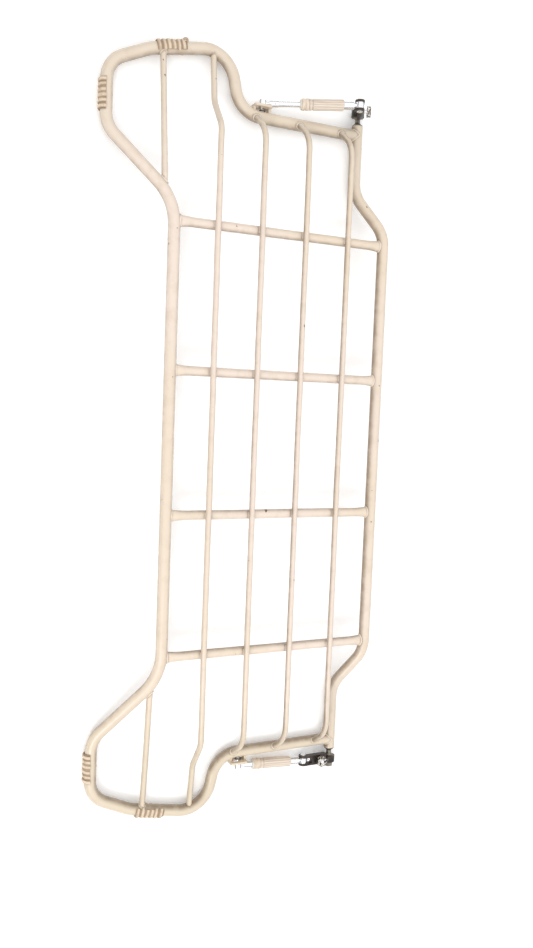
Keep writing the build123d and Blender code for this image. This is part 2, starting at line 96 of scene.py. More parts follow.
def give(mesh, label, numbers):
    """One number for each vertex, as an attribute that a material or a recipe reads."""
    mesh.attributes.new(label, "FLOAT", "POINT").data.foreach_set("value", numbers)


cope = math.sqrt(tube_radius ** 2 - crossbar_radius ** 2)
crossbar_low, crossbar_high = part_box("crossbar_2")
rail_y = crossbar_low.y - cope
depth = crossbar_high.y + cope - rail_y
deck_z = middle_of("crossbar_2").z
ends_z = middle_of("hinge_washer_right").z
deck_rise = deck_z - ends_z
hinge_line = middle_of("hinge_washer_right").y - rail_y
crossbar_x = [middle_of(f"crossbar_{number}").x for number in (1, 2, 3, 4)]
wire_rows = [middle_of(f"slat_wire_{number}").y - rail_y for number in (1, 2, 3, 4)]
print("depth", round(depth, 4), "deck", round(deck_rise, 4), "rows", wire_rows)


def at(x, y, z):
    """A point given from the wing-side long tube's axis and the ends' level."""
    return Vector((x, rail_y + y, ends_z + z))


# %% [markdown]
# ## Camera
# The rack is looked down on from well above its wing side, with its length upright in the
# view.  The camera is aimed at a point, and then rolled a little about that line.

# %% Camera
camera_stand = at(-0.06506, -0.4358, 1.325)
camera_aim = at(0.0507, 0.1877, 0.0)
camera_roll = math.radians(-2.24)
focal_length_mm = 33.15


def make_camera():
    forward = (camera_aim - camera_stand).normalized()
    right = forward.cross(Vector((-1, 0, 0))).normalized()
    right = Matrix.Rotation(camera_roll, 3, forward) @ right
    up = right.cross(forward)
    data = bpy.data.cameras.new("camera")
    data.lens = focal_length_mm
    camera = linked("camera", data)
    turned = Matrix((right, up, -forward)).transposed().to_4x4()
    camera.matrix_world = Matrix.Translation(camera_stand) @ turned
    bpy.context.scene.camera = camera
    print("camera right", [round(value, 4) for value in right])


make_camera()

# %% [markdown]
# ## Floor and light
# The rack lies on a white light table under a light dome.  The dome is bright overhead and
# dim at the horizon, so a tube is bright on top and darker down its flanks, and chrome
# shows a thin dark line between the bright sky and the white floor.  The backdrop is plain
# white to the camera only.  One soft lamp on the outer side draws a highlight along the
# tubes.

# %% Floor, lamp and dome
floor_size = 60.0
floor_white = 0.97
floor_glow = 0.14


def make_floor():
    bpy.ops.mesh.primitive_plane_add(size=floor_size)
    floor = bpy.context.object
    floor.name = "studio_floor"
    paper = bpy.data.materials.new("studio_paper")
    paper.use_nodes = True
    shader = paper.node_tree.nodes["Principled BSDF"]
    shader.inputs["Base Color"].default_value = (floor_white, floor_white, floor_white, 1)
    shader.inputs["Roughness"].default_value = 0.95
    shader.inputs["Specular IOR Level"].default_value = 0.05
    shader.inputs["Emission Color"].default_value = (1, 1, 1, 1)
    shader.inputs["Emission Strength"].default_value = floor_glow
    floor.data.materials.append(paper)
    floor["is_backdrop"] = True


def make_lamp(name, place, size, watts, tint):
    lamp = bpy.data.lights.new(name, "AREA")
    lamp.shape = "DISK"
    lamp.size = size
    lamp.energy = watts
    lamp.color = tint
    holder = linked(name, lamp)
    holder.location = place
    holder.rotation_euler = (-Vector(place)).to_track_quat("-Z", "Y").to_euler()


def make_dome(zenith, horizon, height_from, height_to):
    dome = bpy.data.worlds.new("light_dome")
    dome.use_nodes = True
    nodes, links = dome.node_tree.nodes, dome.node_tree.links
    direction = nodes.new("ShaderNodeTexCoord")
    parts = nodes.new("ShaderNodeSeparateXYZ")
    links.new(direction.outputs["Generated"], parts.inputs[0])
    rise = nodes.new("ShaderNodeMapRange")
    rise.interpolation_type = "SMOOTHSTEP"
    for label, value in (("From Min", height_from), ("From Max", height_to),
                         ("To Min", horizon), ("To Max", zenith)):
        rise.inputs[label].default_value = value
    links.new(parts.outputs["Z"], rise.inputs["Value"])
    links.new(rise.outputs[0], nodes["Background"].inputs["Strength"])
    nodes["Background"].inputs["Color"].default_value = (1, 1, 1, 1)
    backdrop = nodes.new("ShaderNodeBackground")
    backdrop.inputs["Color"].default_value = (1, 1, 1, 1)
    seen = nodes.new("ShaderNodeLightPath")
    choice = nodes.new("ShaderNodeMixShader")
    links.new(seen.outputs["Is Camera Ray"], choice.inputs[0])
    links.new(nodes["Background"].outputs[0], choice.inputs[1])
    links.new(backdrop.outputs[0], choice.inputs[2])
    links.new(choice.outputs[0], nodes["World Output"].inputs["Surface"])
    bpy.context.scene.world = dome


make_floor()
make_lamp("key_lamp", place=(1.3, -1.3, 1.9), size=0.7, watts=15, tint=(1.0, 0.985, 0.965))
make_dome(zenith=1.22, horizon=0.05, height_from=0.08, height_to=0.60)
bpy.context.scene.view_settings.view_transform = "Standard"
print("lit by", [lamp.name for lamp in bpy.data.lights], bpy.context.scene.world.name)

# %% [markdown]
# ## Writing node trees as sums
# A finish or a shape is easier to read as an expression than as a net of boxes.  `Value`
# wraps one output socket, and the operators put the Math nodes in.  `Net.node` makes any
# other node from its type, its settings and what goes into its sockets.  The same two
# classes serve materials and geometry.

# %% Values and nets
class Value:
    """One output socket of a net."""

    def __init__(self, net, socket):
        self.net = net
        self.socket = socket

    def __add__(self, other):
        return self.net.maths("ADD", self, other)

    def __sub__(self, other):
        return self.net.maths("SUBTRACT", self, other)

    def __rsub__(self, other):
        return self.net.maths("SUBTRACT", other, self)

    def __mul__(self, other):
        return self.net.maths("MULTIPLY", self, other)

    def __truediv__(self, other):
        return self.net.maths("DIVIDE", self, other)

    __radd__ = __add__
    __rmul__ = __mul__


class Net:
    """A node tree that is written as expressions."""

    def __init__(self, tree):
        self.tree = tree

    def node(self, kind, settings, inputs, output=0):
        made = self.tree.nodes.new(kind)
        for name, value in settings.items():
            setattr(made, name, value)
        for name, value in inputs.items():
            if isinstance(value, Value):
                self.tree.links.new(value.socket, made.inputs[name])
            else:
                made.inputs[name].default_value = value
        return Value(self, made.outputs[output])

    def window(self, value, low, high, start=0.0, end=1.0):
        """Smoothly from start, where value is low, to end, where it is high."""
        return self.node("ShaderNodeMapRange", {"interpolation_type": "SMOOTHSTEP"},
                         {"Value": value, "From Min": low, "From Max": high,
                          "To Min": start, "To Max": end})

    def maths(self, operation, *values):
        return self.node("ShaderNodeMath", {"operation": operation}, dict(enumerate(values)))

    def xyz(self, x, y, z):
        return self.node("ShaderNodeCombineXYZ", {}, {"X": x, "Y": y, "Z": z})


# %% Finishes
def rgb(red, green, blue):
    """A colour as it looks on a screen, 0 to 255, in the linear light that shaders use."""
    shares = [value / 255 for value in (red, green, blue)]
    return (*[((share + 0.055) / 1.055) ** 2.4 for share in shares], 1.0)


class Finish(Net):
    """A procedural material around one Principled shader."""

    def __init__(self, name, **constants):
        self.material = bpy.data.materials.new(name)
        self.material.use_nodes = True
        super().__init__(self.material.node_tree)
        self.shader = self.tree.nodes["Principled BSDF"]
        self.place = self.node("ShaderNodeTexCoord", {}, {}, "Object")
        for socket, value in constants.items():
            self.shader.inputs[socket.replace("_", " ")].default_value = value

    def feed(self, **sockets):
        for name, value in sockets.items():
            self.tree.links.new(value.socket, self.shader.inputs[name.replace("_", " ")])

    def noise(self, scale, detail=3.0, roughness=0.55, stretch=(1, 1, 1), shift=(0, 0, 0)):
        place = self.node("ShaderNodeMapping", {}, {"Vector": self.place, "Scale": stretch,
                                                    "Location": shift})
        return self.node("ShaderNodeTexNoise", {},
                         {"Vector": place, "Scale": scale, "Detail": detail,
                          "Roughness": roughness})

    def blend(self, factor, first, second):
        """Colour first where factor is 0 and second where it is 1."""
        return self.node("ShaderNodeMix", {"data_type": "RGBA"},
                         {0: factor, 6: first, 7: second}, 2)

    def bump(self, height, distance):
        self.feed(Normal=self.node("ShaderNodeBump", {}, {"Height": height,
                                                          "Distance": distance}))

    def attribute(self, name):
        return self.node("ShaderNodeAttribute", {"attribute_name": name}, {}, "Fac")


# %% [markdown]
# ## Cream enamel
# The tubes are enamelled in cream that is not one colour: it is warmer in some stretches and
# at both ends, slightly mottled, brown beside the welds with grime and painted shade, and
# chipped here and there.  The flanks carry painted brown shade, and the beads a painted
# highlight.  Grime and shade by the welds, the flank shade, nicks and the bead highlight are
# attributes that the pieces carry, because they follow the shape, and the rest is noise in
# the rack's own space.

# %% Cream enamel
def make_enamel():
    finish = Finish("cream_enamel", Coat_Roughness=0.22, Specular_IOR_Level=0.4)
    along = finish.node("ShaderNodeSeparateXYZ", {}, {0: finish.place}, "X")
    ends = finish.window(finish.maths("ABSOLUTE", along), 0.38, 0.53, 0.0, 0.45)
    age = finish.window(finish.noise(2.6, 2.0), 0.42, 0.62)
    mottle = finish.noise(60.0, 4.0, 0.6)
    fine = finish.noise(900.0, 2.0, 0.6)
    base = finish.blend(age, rgb(230, 214, 200), rgb(225, 209, 189))
    base = finish.blend(ends, base, rgb(207, 194, 168))
    base = finish.blend(finish.window(mottle, 0.45, 0.75, 0.0, 0.4), base,
                        rgb(208, 190, 168))
    # Painted shade: the flank attribute browns the tubes' sides as they turn away from above.
    flank = finish.attribute("flank") * finish.window(mottle, 0.3, 0.65, 0.75, 1.0)
    base = finish.blend(finish.window(flank, 0.0, 1.0, 0.0, 0.8), base, rgb(112, 90, 64))
    # Grime and painted shade in the corners beside the welds.
    weld_grime_and_shade = finish.attribute("weld_grime_and_shade") * finish.window(mottle, 0.3, 0.6, 0.4, 1.0)
    base = finish.blend(finish.window(weld_grime_and_shade, 0.1, 0.95, 0.0, 0.55), base, rgb(120, 98, 76))
    # Painted highlight: paler paint on the weld beads.
    base = finish.blend(finish.attribute("bead"), base, rgb(240, 231, 219))
    chip_core = finish.noise(130.0, 2.0, 0.5, shift=(3.1, 1.7, 0.4))
    chips = finish.window(chip_core + finish.attribute("nick") * 0.4, 0.75, 0.775)
    base = finish.blend(chips, base, rgb(118, 98, 80))
    finish.feed(Base_Color=base,
                Roughness=0.34 + 0.16 * mottle + 0.25 * weld_grime_and_shade + 0.2 * chips,
                Coat_Weight=0.5 - 0.5 * finish.maths("MINIMUM", chips + weld_grime_and_shade, 1.0))
    finish.bump(0.35 * mottle + 0.2 * fine - 0.8 * chips, 0.00025)
    return finish.material


cream_enamel = make_enamel()
print(cream_enamel.name, len(cream_enamel.node_tree.nodes), "nodes")

# %% [markdown]
# ## Painted bars by Geometry Nodes
# Each bent tube and wire is a line of corners that is rounded, then given a round section.
# The line's points carry their bend radius.  One tree makes all of them: it fillets the
# line, lets it wander a hair as hand-bent stock does, and presses the ends flat where a
# crossbar is pinched before it is welded.

# %% A geometry tree with named inputs
class Recipe(Net):
    """A Geometry Nodes tree whose inputs are named sizes."""

    kinds = {float: "NodeSocketFloat", int: "NodeSocketInt",
             bpy.types.Material: "NodeSocketMaterial"}

    def __init__(self, name, **sizes):
        super().__init__(bpy.data.node_groups.new(name, "GeometryNodeTree"))
        face = self.tree.interface
        face.new_socket("Geometry", in_out="OUTPUT", socket_type="NodeSocketGeometry")
        face.new_socket("Geometry", in_out="INPUT", socket_type="NodeSocketGeometry")
        self.identifiers = {}
        for label, kind in sizes.items():
            item = face.new_socket(label, in_out="INPUT", socket_type=self.kinds[kind])
            self.identifiers[label] = item.identifier
        self.entry = self.tree.nodes.new("NodeGroupInput")
        self.exit = self.tree.nodes.new("NodeGroupOutput")

    def size(self, label):
        return Value(self, self.entry.outputs[label])

    def named(self, label, kind="FLOAT"):
        return self.node("GeometryNodeInputNamedAttribute", {"data_type": kind},
                         {"Name": label})

    def vector(self, operation, first, second):
        made = self.node("ShaderNodeVectorMath", {"operation": operation}, {0: first})
        into = made.socket.node.inputs["Scale" if operation == "SCALE" else 1]
        if isinstance(second, Value):
            self.tree.links.new(second.socket, into)
        else:
            into.default_value = second
        return made

    def store(self, geometry, label, value, kind="FLOAT"):
        return self.node("GeometryNodeStoreNamedAttribute", {"data_type": kind},
                         {"Geometry": geometry, "Name": label, "Value": value})

    def lines(self):
        """The source's lines, as curves."""
        source = Value(self, self.entry.outputs["Geometry"])
        return self.node("GeometryNodeMeshToCurve", {}, {"Mesh": source})

    def reach(self):
        """How far a point is along its line, and how far from the line's nearer end."""
        along = self.node("GeometryNodeSplineParameter", {}, {}, "Length")
        whole = self.node("GeometryNodeSplineLength", {}, {}, "Length")
        return along, self.maths("MINIMUM", along, whole - along)

    def swept(self, line, section):
        return self.node("GeometryNodeCurveToMesh", {},
                         {"Curve": line, "Profile Curve": section, "Fill Caps": True})

    def close(self, geometry):
        """Smooth shading, real geometry and the material, as the last nodes."""
        smooth = self.node("GeometryNodeSetShadeSmooth", {}, {"Geometry": geometry})
        real = self.node("GeometryNodeRealizeInstances", {}, {"Geometry": smooth})
        painted = self.node("GeometryNodeSetMaterial", {},
                            {"Geometry": real, "Material": self.size("material")})
        self.tree.links.new(painted.socket, self.exit.inputs["Geometry"])
        print(self.tree.name, len(self.tree.nodes), "nodes")


def line_object(lines, closed=False, **fields):
    """A mesh of lines: each is a list of points, with one number per point per field."""
    mesh = bpy.data.meshes.new("line")
    points, edges = [], []
    for line in lines:
        first = len(points)
        points += [tuple(point) for point in line]
        edges += [(first + i, first + i + 1) for i in range(len(line) - 1)]
        if closed:
            edges.append((len(points) - 1, first))
    mesh.from_pydata(points, edges, [])
    for label, numbers in fields.items():
        give(mesh, label, numbers)
    return linked("line", mesh)


def grown(recipe, name, source, **sizes):
    """What a recipe makes of a source object, as a plain mesh object."""
    modifier = source.modifiers.new("recipe", "NODES")
    modifier.node_group = recipe.tree
    for label, value in sizes.items():
        modifier[recipe.identifiers[label]] = value
    graph = bpy.context.evaluated_depsgraph_get()
    mesh = bpy.data.meshes.new_from_object(source.evaluated_get(graph), depsgraph=graph)
    bpy.data.objects.remove(source)
    mesh.name = name
    piece = linked(name, mesh)
    print(name, len(mesh.polygons), "faces")
    return piece


# %% The painted bar
def make_bar_recipe():
    recipe = Recipe("painted_bar", radius=float, facets=int, step=float, wander=float,
                    dent=float, flare=float, pinch=float, pinch_run=float, seed=float,
                    material=bpy.types.Material)
    line = recipe.node("GeometryNodeFilletCurve", {"mode": "POLY"},
                       {"Curve": recipe.lines(), "Count": 20,
                        "Radius": recipe.named("bend")})
    line = recipe.node("GeometryNodeResampleCurve", {"mode": "LENGTH"},
                       {"Curve": line, "Length": recipe.size("step")})
    line = recipe.store(line, "end_gap", recipe.reach()[1])
    position = recipe.node("GeometryNodeInputPosition", {}, {})
    drift = recipe.node("ShaderNodeTexNoise", {"noise_dimensions": "4D"},
                        {"Vector": position, "W": recipe.size("seed"), "Scale": 9.0,
                         "Detail": 1.0}, "Color")
    drift = recipe.vector("SUBTRACT", drift, (0.5, 0.5, 0.5))
    calm = recipe.window(recipe.named("end_gap"), 0.0, 0.04) * recipe.size("wander")
    line = recipe.node("GeometryNodeSetPosition", {},
                       {"Geometry": line, "Offset": recipe.vector("SCALE", drift, calm)})
    line = recipe.store(line, "axis", position, "FLOAT_VECTOR")
    section = recipe.node("GeometryNodeCurvePrimitiveCircle", {},
                          {"Resolution": recipe.size("facets"),
                           "Radius": recipe.size("radius")})
    bar = recipe.swept(line, section)
    press = recipe.window(recipe.named("end_gap"), 0.0, recipe.size("pinch_run"), 1.0, 0.0)
    wide = 1 + press * recipe.size("flare")
    flat = 1 - press * recipe.size("pinch")
    stretch = recipe.xyz(wide, wide, flat)
    axis = recipe.named("axis", "FLOAT_VECTOR")
    spoke = recipe.vector("SUBTRACT", position, axis)
    bar = recipe.node("GeometryNodeSetPosition", {},
                      {"Geometry": bar, "Position": recipe.vector(
                          "ADD", axis, recipe.vector("MULTIPLY", spoke, stretch))})
    lumps = recipe.node("ShaderNodeTexNoise", {"noise_dimensions": "4D"},
                        {"Vector": position, "W": recipe.size("seed"), "Scale": 45.0,
                         "Detail": 2.0})
    normal = recipe.node("GeometryNodeInputNormal", {}, {})
    push = recipe.vector("SCALE", normal, (lumps - 0.5) * recipe.size("dent"))
    bar = recipe.node("GeometryNodeSetPosition", {}, {"Geometry": bar, "Offset": push})
    recipe.close(bar)
    return recipe


bar_recipe = make_bar_recipe()


def painted_bar(name, corners, bends, radius, seed, **changes):
    """A bar through these corners, with a bend radius for each inner corner."""
    sizes = {"facets": 28, "step": 0.004, "wander": 0.0008, "dent": 0.00025,
             "flare": 0.0, "pinch": 0.0, "pinch_run": 0.01}
    sizes.update(changes)
    source = line_object([corners], bend=[0.0, *bends, 0.0])
    return grown(bar_recipe, name, source, radius=radius, seed=float(seed),
                 material=cream_enamel, **sizes)


# %% [markdown]
# ## The bent perimeter
# Two tubes make the outline.  One runs along the wing side, steps down 35 mm through a
# slanting stretch, and turns round each wing into the end tube.  The other runs along the
# hinge side and steps down to the two hinge ends.  Both are mirrored about the middle.

# %% Perimeter tubes
end_tube_x = 0.526
hinge_end_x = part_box("hinge_tube")[1].x
hinge_bend_x = 0.428
deck_bend_x = 0.360
wing_root_x = 0.370
wing_side_inner_x = 0.474
wing_side_outer_x = 0.567
wing_side_y = -0.1005
cap_near_x, cap_near_y = 0.598, -0.033
cap_far_x, cap_far_y = 0.622, 0.095
neck_y = 0.115
wing_bends = [0.045, 0.048, 0.060, 0.040, 0.045, 0.090]
hinge_bend = 0.060


def mirrored(right_half):
    """The right half from its outer end inwards, then the same on the left."""
    left_half = [Vector((-point.x, point.y, point.z)) for point in reversed(right_half)]
    return right_half + left_half


def make_perimeter():
    wing_half = [at(end_tube_x, hinge_line, 0), at(end_tube_x, neck_y, 0),
                 at(cap_far_x, cap_far_y, 0), at(cap_near_x, cap_near_y, 0),
                 at(wing_side_outer_x, wing_side_y, 0),
                 at(wing_side_inner_x, wing_side_y, 0), at(wing_root_x, 0, deck_rise)]
    wing = painted_bar("wing_bar", mirrored(wing_half), wing_bends + wing_bends[::-1],
                       tube_radius, seed=1, facets=36, wander=0.0005)
    hinge_half = [at(hinge_end_x, hinge_line, 0), at(hinge_bend_x, hinge_line, 0),
                  at(deck_bend_x, depth, deck_rise)]
    hinge = painted_bar("hinge_bar", mirrored(hinge_half), [hinge_bend] * 4,
                        tube_radius, seed=2, facets=36, wander=0.0005)
    return [(wing, "wing_tube"), (hinge, "hinge_tube")]


painted = make_perimeter()

# %% [markdown]
# ## Crossbars
# Four lighter tubes join the long sides.  A real crossbar's end is squeezed in a press
# before it is welded, so it gets flatter and wider over its last two centimetres.

# %% Crossbars
crossbar_flare = 0.22
crossbar_pinch = 0.30
crossbar_press_run = 0.026


def make_crossbars():
    made = []
    for number, x in enumerate(crossbar_x, 1):
        ends = [at(x, tube_radius / 2, deck_rise),
                at(x, depth - tube_radius / 2, deck_rise)]
        bar = painted_bar(f"crossbar_tube_{number}", ends, [], crossbar_radius,
                          seed=10 + number, wander=0.0012, dent=0.0006,
                          flare=crossbar_flare, pinch=crossbar_pinch,
                          pinch_run=crossbar_press_run)
        made.append((bar, f"crossbar_{number}"))
    return made


painted += make_crossbars()

# %% [markdown]
# ## Slat wires
# Four solid wires lie across the crossbars.  The first runs on to the wings' end caps, with
# a step down on the way.  The others bend down into the end tubes' upper sides, and their
# tips spread a little where the weld has melted them in.

# %% Slat wires
wire_z = deck_rise + crossbar_radius + wire_radius - melt
wire_drop_run = 0.031
wire_bend = 0.044
wire_tip_rise = 0.003
wire_flare = 0.34
wire_pinch = 0.35
wire_press_run = 0.015
step_from_x, step_to_x = 0.488, 0.533
step_bend = 0.030
wing_wire_rise = 0.012


def cap_axis_x(y):
    """Where the axis of a wing's end cap is, at this depth."""
    share = (y - cap_near_y) / (cap_far_y - cap_near_y)
    return cap_near_x + share * (cap_far_x - cap_near_x)


def wire_drop(sign, y):
    """The end of a wire's line, in the end tube, and the corner where it leaves the deck."""
    return [at(sign * end_tube_x, y, wire_tip_rise),
            at(sign * (end_tube_x - wire_drop_run), y, wire_z)]


def make_slat_wires():
    made = []
    for number, y in enumerate(wire_rows, 1):
        if number == 1:
            half = [at(cap_axis_x(y), y, 0), at(step_to_x, y, wing_wire_rise),
                    at(step_from_x, y, wire_z)]
            bends, changes = [step_bend] * 4, {}
        else:
            half = wire_drop(1, y)
            bends = [wire_bend] * 2
            changes = {"flare": wire_flare, "pinch": wire_pinch, "pinch_run": wire_press_run}
        wire = painted_bar(f"slat_bar_{number}", mirrored(half), bends, wire_radius,
                           seed=20 + number, facets=20, wander=0.0014, **changes)
        made.append((wire, f"slat_wire_{number}"))
    return made


painted += make_slat_wires()

# %% Wing wires
wing_wire_y = -0.015
wing_wire_tip_rise = 0.003


def wing_wire_ends(sign):
    share = wing_wire_y / wing_side_y
    root_x = wing_root_x + share * (wing_side_inner_x - wing_root_x)
    return (at(sign * root_x, wing_wire_y, deck_rise * (1 - share)),
            at(sign * cap_axis_x(wing_wire_y), wing_wire_y, wing_wire_tip_rise))


def make_wing_wires():
    made = []
    for side, sign in sides.items():
        wire = painted_bar(f"wing_bar_{side}", list(wing_wire_ends(sign)), [], wire_radius,
                           seed=30 + sign, facets=20, wander=0.0012)
        made.append((wire, f"wing_wire_{side}"))
    return made


painted += make_wing_wires()

# %% [markdown]
# ## Weld beads
# Every joint has a bead of weld under the paint.  Where a bar runs into a tube, the bead
# follows the line in which the two surfaces meet, found by solving for the point where
# each spoke of the bar reaches the tube.  Where a wire lies on a bar, a bead lies in the
# notch along each flank.  One tree turns all the lines into rippled beads.

# %% The lines that welds follow
ring_steps = 48
flank_steps = 8
flank_half_run = 0.0042
flank_side_gap = 0.0034
tip_weld_wide = wire_radius * 1.25
tip_weld_tall = wire_radius * 0.9


def ring_weld(start, towards, tube_point, tube_line, wide, tall):
    """Where a bar from start, of half widths wide and tall, first meets a round tube."""
    towards = towards.normalized()
    tube_line = tube_line.normalized()
    level = towards.cross(Vector((0, 0, 1))).normalized()
    upright = level.cross(towards)
    ring = []
    for step in range(ring_steps):
        angle = math.tau * step / ring_steps
        spoke = start + level * wide * math.cos(angle) + upright * tall * math.sin(angle)
        gap = spoke - tube_point
        gap -= tube_line * gap.dot(tube_line)
        reach = towards - tube_line * towards.dot(tube_line)
        a, b = reach.dot(reach), gap.dot(reach)
        inside = max(b * b - a * (gap.dot(gap) - tube_radius ** 2), 0.0)
        ring.append(spoke + towards * (-b - math.sqrt(inside)) / a)
    return ring


def flank_welds(x, y, top_z, under_radius):
    """Beads along both flanks of a wire that lies along X on a bar that lies along Y."""
    lines = []
    for flank in (-1, 1):
        line = []
        for step in range(flank_steps + 1):
            u = flank_half_run * (2 * step / flank_steps - 1)
            z = math.sqrt(under_radius ** 2 - u ** 2) - under_radius
            line.append(at(x + u, y + flank * flank_side_gap, top_z + z))
        lines.append(line)
    return lines


def tip_axis(sign):
    """A point on the straight part of an end tube's axis."""
    return at(sign * end_tube_x, hinge_line, 0)


def weld_lines():
    rings, flanks = [], []
    along = Vector((1, 0, 0))
    wide = crossbar_radius * (1 + crossbar_flare)
    tall = crossbar_radius * (1 - crossbar_pinch)
    for x in crossbar_x:
        near, far = at(x, 0, deck_rise), at(x, depth, deck_rise)
        middle = (near + far) / 2
        rings.append(ring_weld(middle, near - middle, near, along, wide, tall))
        rings.append(ring_weld(middle, far - middle, far, along, wide, tall))
        for y in wire_rows:
            flanks += flank_welds(x, y, deck_rise + crossbar_radius, crossbar_radius)
    cap_line = Vector((cap_far_x - cap_near_x, cap_far_y - cap_near_y, 0))
    slant = Vector((wing_side_inner_x - wing_root_x, wing_side_y, -deck_rise))
    for sign in sides.values():
        flip = Matrix.Diagonal((sign, 1, 1))
        root, tip = wing_wire_ends(sign)
        middle = (root + tip) / 2
        rings.append(ring_weld(middle, tip - middle, at(sign * cap_near_x, cap_near_y, 0),
                               flip @ cap_line, wire_radius, wire_radius))
        rings.append(ring_weld(middle, root - middle, at(sign * wing_root_x, 0, deck_rise),
                               flip @ slant, wire_radius, wire_radius))
        y = wire_rows[0]
        end, step = at(sign * cap_axis_x(y), y, 0), at(sign * step_to_x, y, wing_wire_rise)
        rings.append(ring_weld(step, end - step, at(sign * cap_far_x, cap_far_y, 0),
                               flip @ cap_line, wire_radius, wire_radius))
        rings.append(ring_weld(at(sign * end_tube_x, neck_y, 0), Vector((0, 1, 0)),
                               tip_axis(sign), along, tube_radius, tube_radius))
        for y in wire_rows[1:]:
            tip, corner = wire_drop(sign, y)
            rings.append(ring_weld(corner, tip - corner, tip_axis(sign), Vector((0, 1, 0)),
                                   tip_weld_wide, tip_weld_tall))
    return rings, flanks


# %% Beads
def make_bead_recipe():
    recipe = Recipe("weld_bead", radius=float, ripple=float, pitch=float,
                    material=bpy.types.Material)
    line = recipe.node("GeometryNodeResampleCurve", {"mode": "LENGTH"},
                       {"Curve": recipe.lines(), "Length": recipe.size("pitch") / 5})
    along, gap = recipe.reach()
    cyclic = recipe.node("GeometryNodeInputSplineCyclic", {}, {})
    wave = recipe.maths("SINE", math.tau * along / recipe.size("pitch"))
    place = recipe.node("GeometryNodeInputPosition", {}, {})
    lumps = recipe.node("ShaderNodeTexNoise", {}, {"Vector": place, "Scale": 210.0})
    ending = recipe.window(gap, 0.0, 0.0016, 0.35, 1.0)
    ending = ending + cyclic * (1 - ending)
    swell = (0.55 + recipe.size("ripple") * wave + 0.9 * lumps) * ending
    line = recipe.node("GeometryNodeSetCurveRadius", {}, {"Curve": line, "Radius": swell})
    section = recipe.node("GeometryNodeCurvePrimitiveCircle", {},
                          {"Resolution": 10, "Radius": recipe.size("radius")})
    recipe.close(recipe.swept(line, section))
    return recipe


bead_recipe = make_bead_recipe()
ring_lines, flank_lines = weld_lines()
bead_sizes = {"ripple": 0.10, "pitch": 0.0022, "material": cream_enamel}
ring_beads = grown(bead_recipe, "ring_welds", line_object(ring_lines, closed=True),
                   radius=0.0014, **bead_sizes)
flank_beads = grown(bead_recipe, "flank_welds", line_object(flank_lines), radius=0.0013,
                    **bead_sizes)
painted += [(ring_beads, None), (flank_beads, None)]

# %% [markdown]
# ## Marks on the painted pieces
# Each painted vertex carries four numbers that the enamel reads:
#
# - the weld mark falls off with the distance from the nearest weld: grime there, and painted
#   shade in the corners between the parts
# - nick is 1 at the two places where the paint is knocked off
# - flank rises as the surface turns down, and is painted brown shade on the tubes' flanks,
#   most on the ones that face the rack's middle, and further up on the right wing and end tube
# - bead makes the paint on the beads paler, as a painted highlight

# %% Grime and painted shade, nicks, painted flank shade and bead highlights
grime_and_shade_reach = 0.0042
nick_reach = 0.006
# Sizes of the painted flank shade.
flank_from, flank_run = 0.80, 0.90
inner_gain = 0.24
right_from, right_run, right_gain = 0.40, 0.10, 0.30
outer_share = 0.6
thin_flank_shade = 0.85
bead_highlight = 0.4
half_length, half_depth = 0.62, 0.25
nicks = [at(0.1055, 0.172, deck_rise + 0.004), at(-0.556, wing_wire_y, 0.014)]


def point_tree(points):
    tree = kdtree.KDTree(len(points))
    for number, point in enumerate(points):
        tree.insert(point, number)
    tree.balance()
    return tree


def clamped(value):
    return min(max(value, 0.0), 1.0)


def mark(piece, label, tree, reach):
    """1 within a third of the reach, falling to 0 at the reach."""
    numbers = []
    for vertex in piece.data.vertices:
        _, _, distance = tree.find(vertex.co)
        numbers.append(clamped((reach - distance) / (reach * 2 / 3)))
    give(piece.data, label, numbers)


def paint_flank_shade(piece, strength):
    """Painted shade: 0 on top, rising as the surface turns away from above, most on the inner
    flanks.
    """
    numbers = []
    for vertex in piece.data.vertices:
        place, facing = vertex.co, vertex.normal
        away = Vector((place.x / half_length, place.y / half_depth, 0)).normalized()
        inner = clamped(0.5 - facing.dot(away))
        climb = inner_gain + right_gain * clamped((place.x - right_from) / right_run)
        turned = clamped((flank_from + climb * inner - facing.z) / flank_run)
        numbers.append(strength * turned * (outer_share + (1 - outer_share) * inner))
    give(piece.data, "flank", numbers)


# The weld mark: grime and painted shade beside the welds.
weld_tree = point_tree([point for line in ring_lines + flank_lines for point in line])
nick_tree = point_tree(nicks)
for piece, node in painted:
    if node:
        mark(piece, "weld_grime_and_shade", weld_tree, grime_and_shade_reach)
        mark(piece, "nick", nick_tree, nick_reach)
    # Painted flank shade, a little lighter on the wires and beads.
    thin = node is None or "wire" in node
    paint_flank_shade(piece, thin_flank_shade if thin else 1.0)
    # Beads get the painted highlight, bars none.
    paleness = 0.0 if node else bead_highlight
    give(piece.data, "bead", [paleness] * len(piece.data.vertices))
print("marked", len(painted), "painted pieces")

# %% [markdown]
# ## Ribbed rubber pads
# Each wing has two slit rubber sleeves that keep the luggage off the paint.  A sleeve is a
# thin wall with fat ribs wound round it, and no two ribs stand quite alike: each leans
# and shrinks a little.  The tree makes one arc of rib, repeats it along the sleeve with a
# random turn, and adds the wall.  The result is made at the origin, with x through the
# middle of the cover and z along the tube, and a matrix puts the mesh in its place.

